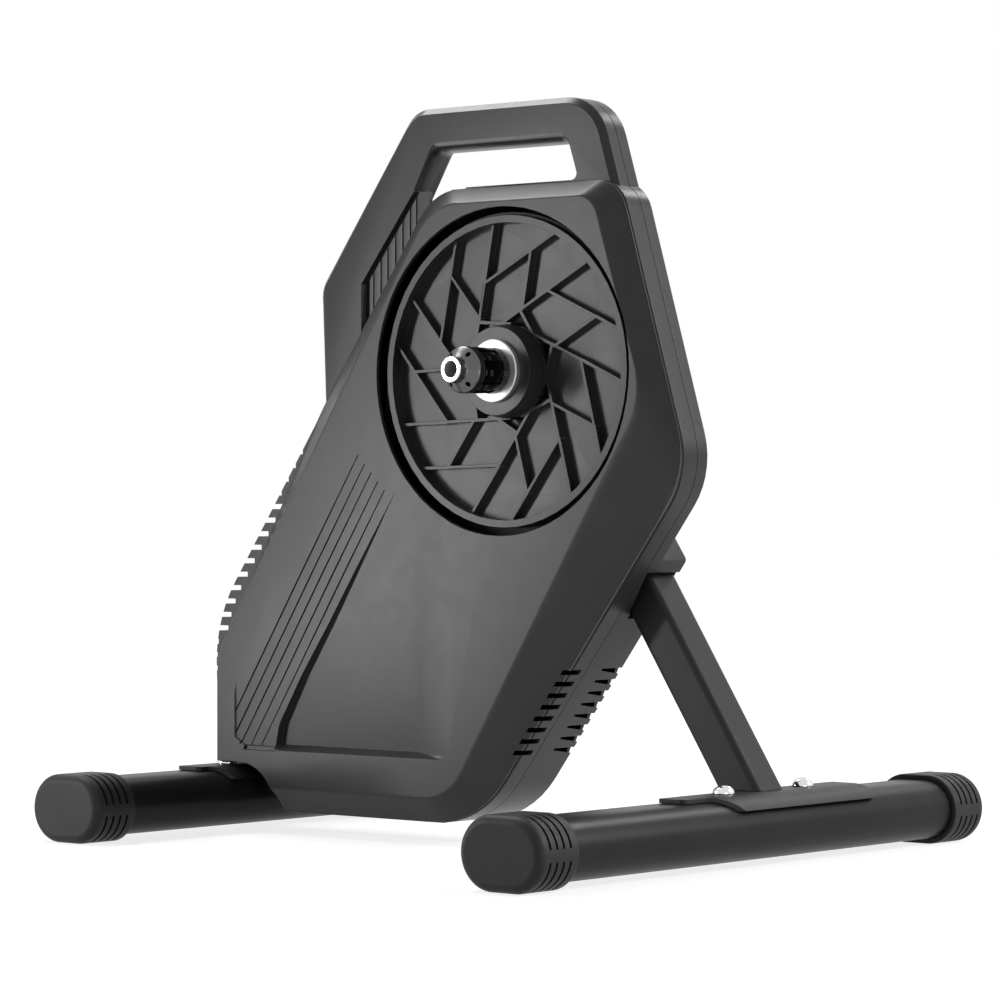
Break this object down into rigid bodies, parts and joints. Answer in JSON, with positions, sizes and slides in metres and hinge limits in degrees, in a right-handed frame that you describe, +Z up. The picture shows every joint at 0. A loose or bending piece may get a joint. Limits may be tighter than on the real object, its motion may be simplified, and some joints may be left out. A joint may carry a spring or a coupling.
{
  "type": "smart bike trainer",
  "caption": "Indoor training stand that replaces a bicycle's rear wheel: an axle and freehub drive a belted flywheel and electric brake in a slanted housing on two feet.",
  "frame": {"origin": "on the floor, below the middle of the part's bounding box; the plane Y = 0 is the joint between the two halves of the housing", "axes": "+Z up; X across the feet, +X towards the foot at the foot of the slanted leg; -Y towards the drive side, along the axle"},
  "size_m": [0.562, 0.532, 0.5563],
  "materials": {
    "housing": "fine texture, charcoal grey",
    "cover": "fine texture, charcoal grey",
    "wheel": "cast and powder coated dark grey",
    "painted_steel": "black gloss paint",
    "frame_casting": "cast, painted black",
    "bright_steel": "machined",
    "chrome": "polished",
    "machined_alloy": "turned",
    "black_alloy": "black anodised",
    "foot_rubber": "black",
    "belt_rubber": "black",
    "flywheel_iron": "turned",
    "core_steel": "black",
    "winding": "enamelled copper wire",
    "board": "green circuit board",
    "socket": "black",
    "lens": "clear"
  },
  "bodies": {
    "frame": {"axle": "bright_steel", "axle_nut": "bright_steel", "brake_coil_1": "winding", "brake_coil_2": "winding", "brake_coil_3": "winding", "brake_core": "core_steel", "circuit_board": "board", "drive_belt": "belt_rubber", "drive_end_cap": "machined_alloy", "flywheel_bearing_front": "bright_steel", "flywheel_bearing_rear": "bright_steel", "frame_plate": "frame_casting", "freehub_bearing_front": "bright_steel", "freehub_bearing_rear": "bright_steel", "front_cover": "cover", "front_foot_bolt_1": "chrome", "front_foot_bolt_2": "chrome", "front_foot_cap_far": "foot_rubber", "front_foot_cap_near": "foot_rubber", "front_foot_tube": "painted_steel", "front_post": "painted_steel", "front_saddle": "painted_steel", "front_shell": "housing", "leg_bolt_1": "bright_steel", "leg_bolt_2": "bright_steel", "post_bolt_1": "bright_steel", "post_bolt_2": "bright_steel", "power_inlet": "socket", "rear_cover": "housing", "rear_end_cap": "black_alloy", "rear_foot_bolt_1": "chrome", "rear_foot_bolt_2": "chrome", "rear_foot_cap_far": "foot_rubber", "rear_foot_cap_near": "foot_rubber", "rear_foot_tube": "painted_steel", "rear_housing": "housing", "rear_leg": "painted_steel", "rear_saddle": "painted_steel", "rear_shell": "housing", "status_light": "lens", "tensioner_pivot": "bright_steel", "tensioner_spring": "bright_steel", "wheel_bearing_front": "bright_steel", "wheel_bearing_rear": "bright_steel"},
    "belt_wheel_group": {"belt_wheel": "wheel", "wheel_hub": "wheel", "hub_seal_ring": "machined_alloy", "ratchet_ring": "bright_steel"},
    "freehub": {"freehub_body": "black_alloy"},
    "flywheel_group": {"flywheel": "flywheel_iron", "flywheel_shaft": "bright_steel", "flywheel_pulley": "black_alloy"},
    "tensioner": {"tensioner_arm": "painted_steel"},
    "idler": {"idler_roller": "black_alloy"}
  },
  "joints": [
    {"name": "flywheel_spin", "type": "hinge", "parent": "frame", "child": "flywheel_group", "pos_m": [-0.078, 0, 0.1404], "axis": [0, 1, 0], "continuous": true},
    {"name": "belt_wheel_spin", "type": "hinge", "parent": "frame", "child": "belt_wheel_group", "pos_m": [0.047, 0, 0.3554], "axis": [0, 1, 0], "continuous": true},
    {"name": "freehub_spin", "type": "hinge", "parent": "belt_wheel_group", "child": "freehub", "pos_m": [0.047, 0, 0.3554], "axis": [0, 1, 0], "continuous": true},
    {"name": "tensioner_swing", "type": "hinge", "parent": "frame", "child": "tensioner", "pos_m": [0.08592, 0, 0.16562], "axis": [0, 1, 0], "range_deg": [-8, 0], "stiffness_Nm_per_rad": 0.6, "springref_deg": 20.05},
    {"name": "idler_spin", "type": "hinge", "parent": "tensioner", "child": "idler", "pos_m": [0.03705, 0, 0.1834], "axis": [0, 1, 0], "continuous": true}
  ],
  "couplings": [
    {"joint": "belt_wheel_spin", "follows": "flywheel_spin", "ratio": 0.15601},
    {"joint": "idler_spin", "follows": "flywheel_spin", "ratio": -1.3071}
  ]
}
